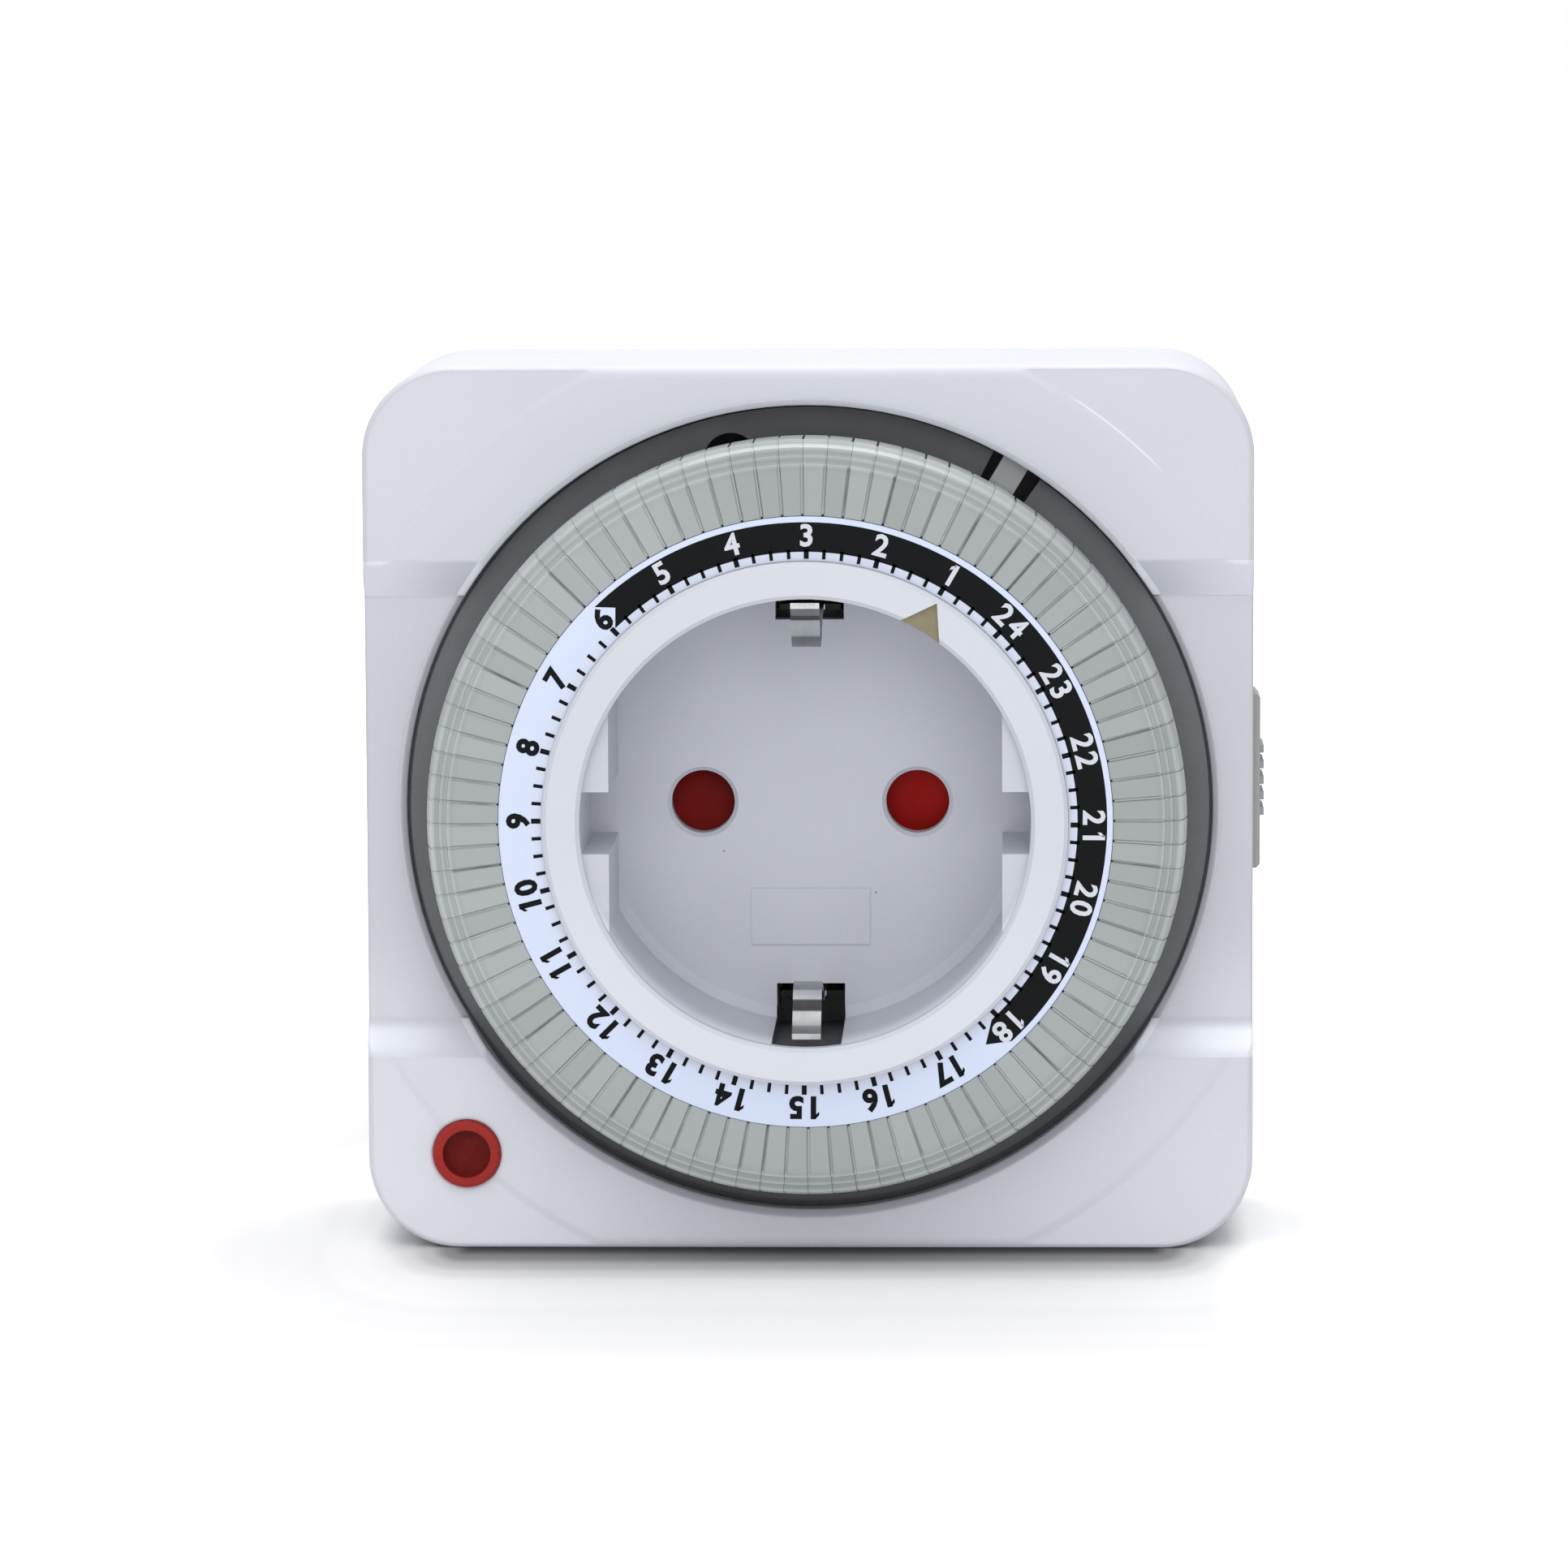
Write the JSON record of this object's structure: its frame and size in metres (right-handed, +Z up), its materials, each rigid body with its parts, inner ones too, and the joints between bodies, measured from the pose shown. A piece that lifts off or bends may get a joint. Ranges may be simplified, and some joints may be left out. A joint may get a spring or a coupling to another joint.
{
  "type": "mechanical plug-in timer",
  "caption": "Square plug-in time switch with a push-tab dial turning round a round-pin earthed socket, a side override slider, an indicator lamp and a two-pin plug behind.",
  "frame": {"origin": "centre of the plug face, midway between the two plug pins", "axes": "+Z up as in the picture, the dial faces -Y, +Y points into the wall socket, +X is the viewer's right"},
  "size_m": [0.0792, 0.0772, 0.078],
  "materials": {
    "housing": "fine matt, pale grey-white",
    "dial": "matt, pale grey",
    "tab": "satin, cool light grey",
    "scale": "printed foil, satin",
    "chassis": "matt, dark grey",
    "pointer": "matt, olive beige",
    "carrier": "matt, dark grey",
    "shutter": "satin, dark red",
    "contact": "rolled strip",
    "plug_pin": "nickel-plated, polished",
    "earth_clip": "nickel-plated strip",
    "screw": "zinc-plated",
    "gear": "natural white, matt",
    "brass_pinion": "machined",
    "motor": "zinc-plated can",
    "switch": "matt black",
    "lever": "satin, grey",
    "knob": "matt, mid grey",
    "lens": "gloss, clear red",
    "bulb": "clear glass",
    "lead": "soft insulation"
  },
  "bodies": {
    "housing": {"front_cover": "housing", "rear_cover": "housing", "plug_body": "housing", "cover_screws": "screw", "chassis_plate": "chassis", "socket_well": "housing", "inner_screws": "screw", "collar_ring": "housing", "time_pointer": "pointer", "contact_carrier": "carrier", "neutral_contact": "contact", "live_contact": "contact", "neutral_pin": "plug_pin", "live_pin": "plug_pin", "earth_contacts": "earth_clip", "earth_link": "contact", "live_feed_bar": "contact", "live_outlet_bar": "contact", "idler_arbor": "screw", "synchronous_motor": "motor", "switch_body": "switch", "lever_pin": "screw", "neon_lens": "lens", "neon_lamp": "bulb", "supply_leads": "lead"},
    "dial": {"dial_carrier": "dial", "dial_gear": "gear", "hour_scale_ring": "scale"},
    "idler": {"idler_gear": "gear"},
    "motor_shaft": {"motor_pinion": "brass_pinion"},
    "override": {"override_knob": "knob", "override_bar": "gear"},
    "shutter": {"safety_shutter": "shutter", "shutter_spring": "screw"},
    "lever": {"switch_lever": "lever"},
    "plunger": {"switch_plunger": "gear"},
    "tab_00": {"tab_hour_00": "tab"},
    "tab_01": {"tab_hour_01": "tab"},
    "tab_02": {"tab_hour_02": "tab"},
    "tab_03": {"tab_hour_03": "tab"},
    "tab_04": {"tab_hour_04": "tab"},
    "tab_05": {"tab_hour_05": "tab"},
    "tab_06": {"tab_hour_06": "tab"},
    "tab_07": {"tab_hour_07": "tab"},
    "tab_08": {"tab_hour_08": "tab"},
    "tab_09": {"tab_hour_09": "tab"},
    "tab_10": {"tab_hour_10": "tab"},
    "tab_11": {"tab_hour_11": "tab"},
    "tab_12": {"tab_hour_12": "tab"},
    "tab_13": {"tab_hour_13": "tab"},
    "tab_14": {"tab_hour_14": "tab"},
    "tab_15": {"tab_hour_15": "tab"},
    "tab_16": {"tab_hour_16": "tab"},
    "tab_17": {"tab_hour_17": "tab"},
    "tab_18": {"tab_hour_18": "tab"},
    "tab_19": {"tab_hour_19": "tab"},
    "tab_20": {"tab_hour_20": "tab"},
    "tab_21": {"tab_hour_21": "tab"},
    "tab_22": {"tab_hour_22": "tab"},
    "tab_23": {"tab_hour_23": "tab"}
  },
  "joints": [
    {"name": "dial_spin", "type": "hinge", "parent": "housing", "child": "dial", "pos_m": [0, -0.048, 0], "axis": [0, 1, 0], "continuous": true},
    {"name": "idler_spin", "type": "hinge", "parent": "housing", "child": "idler", "pos_m": [-0.02705, -0.038, 0.00725], "axis": [0, 1, 0], "continuous": true},
    {"name": "motor_pinion_spin", "type": "hinge", "parent": "housing", "child": "motor_shaft", "pos_m": [-0.02554, -0.036, 0.01551], "axis": [0, 1, 0], "continuous": true},
    {"name": "override_slide", "type": "slide", "parent": "housing", "child": "override", "axis": [0, 0, 1], "range_m": [-0.005, 0]},
    {"name": "shutter_turn", "type": "hinge", "parent": "housing", "child": "shutter", "pos_m": [0, -0.0374, 0], "axis": [0, 1, 0], "range_deg": [-40, 0], "stiffness_Nm_per_rad": 0.0003, "springref_deg": 11.46},
    {"name": "tab_hour_00_slide", "type": "slide", "parent": "dial", "child": "tab_00", "axis": [0, 1, 0], "range_m": [0, 0.003]},
    {"name": "lever_tilt", "type": "hinge", "parent": "housing", "child": "lever", "pos_m": [0.02029, -0.0396, 0.03377], "axis": [0.8572, 0, -0.515], "range_deg": [0, 8.1]},
    {"name": "plunger_press", "type": "slide", "parent": "housing", "child": "plunger", "axis": [0, 1, 0], "range_m": [0, 0.00045]},
    {"name": "tab_hour_01_slide", "type": "slide", "parent": "dial", "child": "tab_01", "axis": [0, 1, 0], "range_m": [0, 0.003]},
    {"name": "tab_hour_02_slide", "type": "slide", "parent": "dial", "child": "tab_02", "axis": [0, 1, 0], "range_m": [0, 0.003]},
    {"name": "tab_hour_03_slide", "type": "slide", "parent": "dial", "child": "tab_03", "axis": [0, 1, 0], "range_m": [0, 0.003]},
    {"name": "tab_hour_04_slide", "type": "slide", "parent": "dial", "child": "tab_04", "axis": [0, 1, 0], "range_m": [0, 0.003]},
    {"name": "tab_hour_05_slide", "type": "slide", "parent": "dial", "child": "tab_05", "axis": [0, 1, 0], "range_m": [0, 0.003]},
    {"name": "tab_hour_06_slide", "type": "slide", "parent": "dial", "child": "tab_06", "axis": [0, 1, 0], "range_m": [0, 0.003]},
    {"name": "tab_hour_07_slide", "type": "slide", "parent": "dial", "child": "tab_07", "axis": [0, 1, 0], "range_m": [0, 0.003]},
    {"name": "tab_hour_08_slide", "type": "slide", "parent": "dial", "child": "tab_08", "axis": [0, 1, 0], "range_m": [0, 0.003]},
    {"name": "tab_hour_09_slide", "type": "slide", "parent": "dial", "child": "tab_09", "axis": [0, 1, 0], "range_m": [0, 0.003]},
    {"name": "tab_hour_10_slide", "type": "slide", "parent": "dial", "child": "tab_10", "axis": [0, 1, 0], "range_m": [0, 0.003]},
    {"name": "tab_hour_11_slide", "type": "slide", "parent": "dial", "child": "tab_11", "axis": [0, 1, 0], "range_m": [0, 0.003]},
    {"name": "tab_hour_12_slide", "type": "slide", "parent": "dial", "child": "tab_12", "axis": [0, 1, 0], "range_m": [0, 0.003]},
    {"name": "tab_hour_13_slide", "type": "slide", "parent": "dial", "child": "tab_13", "axis": [0, 1, 0], "range_m": [0, 0.003]},
    {"name": "tab_hour_14_slide", "type": "slide", "parent": "dial", "child": "tab_14", "axis": [0, 1, 0], "range_m": [0, 0.003]},
    {"name": "tab_hour_15_slide", "type": "slide", "parent": "dial", "child": "tab_15", "axis": [0, 1, 0], "range_m": [0, 0.003]},
    {"name": "tab_hour_16_slide", "type": "slide", "parent": "dial", "child": "tab_16", "axis": [0, 1, 0], "range_m": [0, 0.003]},
    {"name": "tab_hour_17_slide", "type": "slide", "parent": "dial", "child": "tab_17", "axis": [0, 1, 0], "range_m": [0, 0.003]},
    {"name": "tab_hour_18_slide", "type": "slide", "parent": "dial", "child": "tab_18", "axis": [0, 1, 0], "range_m": [0, 0.003]},
    {"name": "tab_hour_19_slide", "type": "slide", "parent": "dial", "child": "tab_19", "axis": [0, 1, 0], "range_m": [0, 0.003]},
    {"name": "tab_hour_20_slide", "type": "slide", "parent": "dial", "child": "tab_20", "axis": [0, 1, 0], "range_m": [0, 0.003]},
    {"name": "tab_hour_21_slide", "type": "slide", "parent": "dial", "child": "tab_21", "axis": [0, 1, 0], "range_m": [0, 0.003]},
    {"name": "tab_hour_22_slide", "type": "slide", "parent": "dial", "child": "tab_22", "axis": [0, 1, 0], "range_m": [0, 0.003]},
    {"name": "tab_hour_23_slide", "type": "slide", "parent": "dial", "child": "tab_23", "axis": [0, 1, 0], "range_m": [0, 0.003]}
  ],
  "couplings": [
    {"joint": "idler_spin", "follows": "dial_spin", "ratio": -6},
    {"joint": "motor_pinion_spin", "follows": "dial_spin", "ratio": 15},
    {"joint": "lever_tilt", "follows": "tab_hour_00_slide", "rad_per_m": 46.5},
    {"joint": "plunger_press", "follows": "tab_hour_00_slide", "ratio": 0.14}
  ]
}
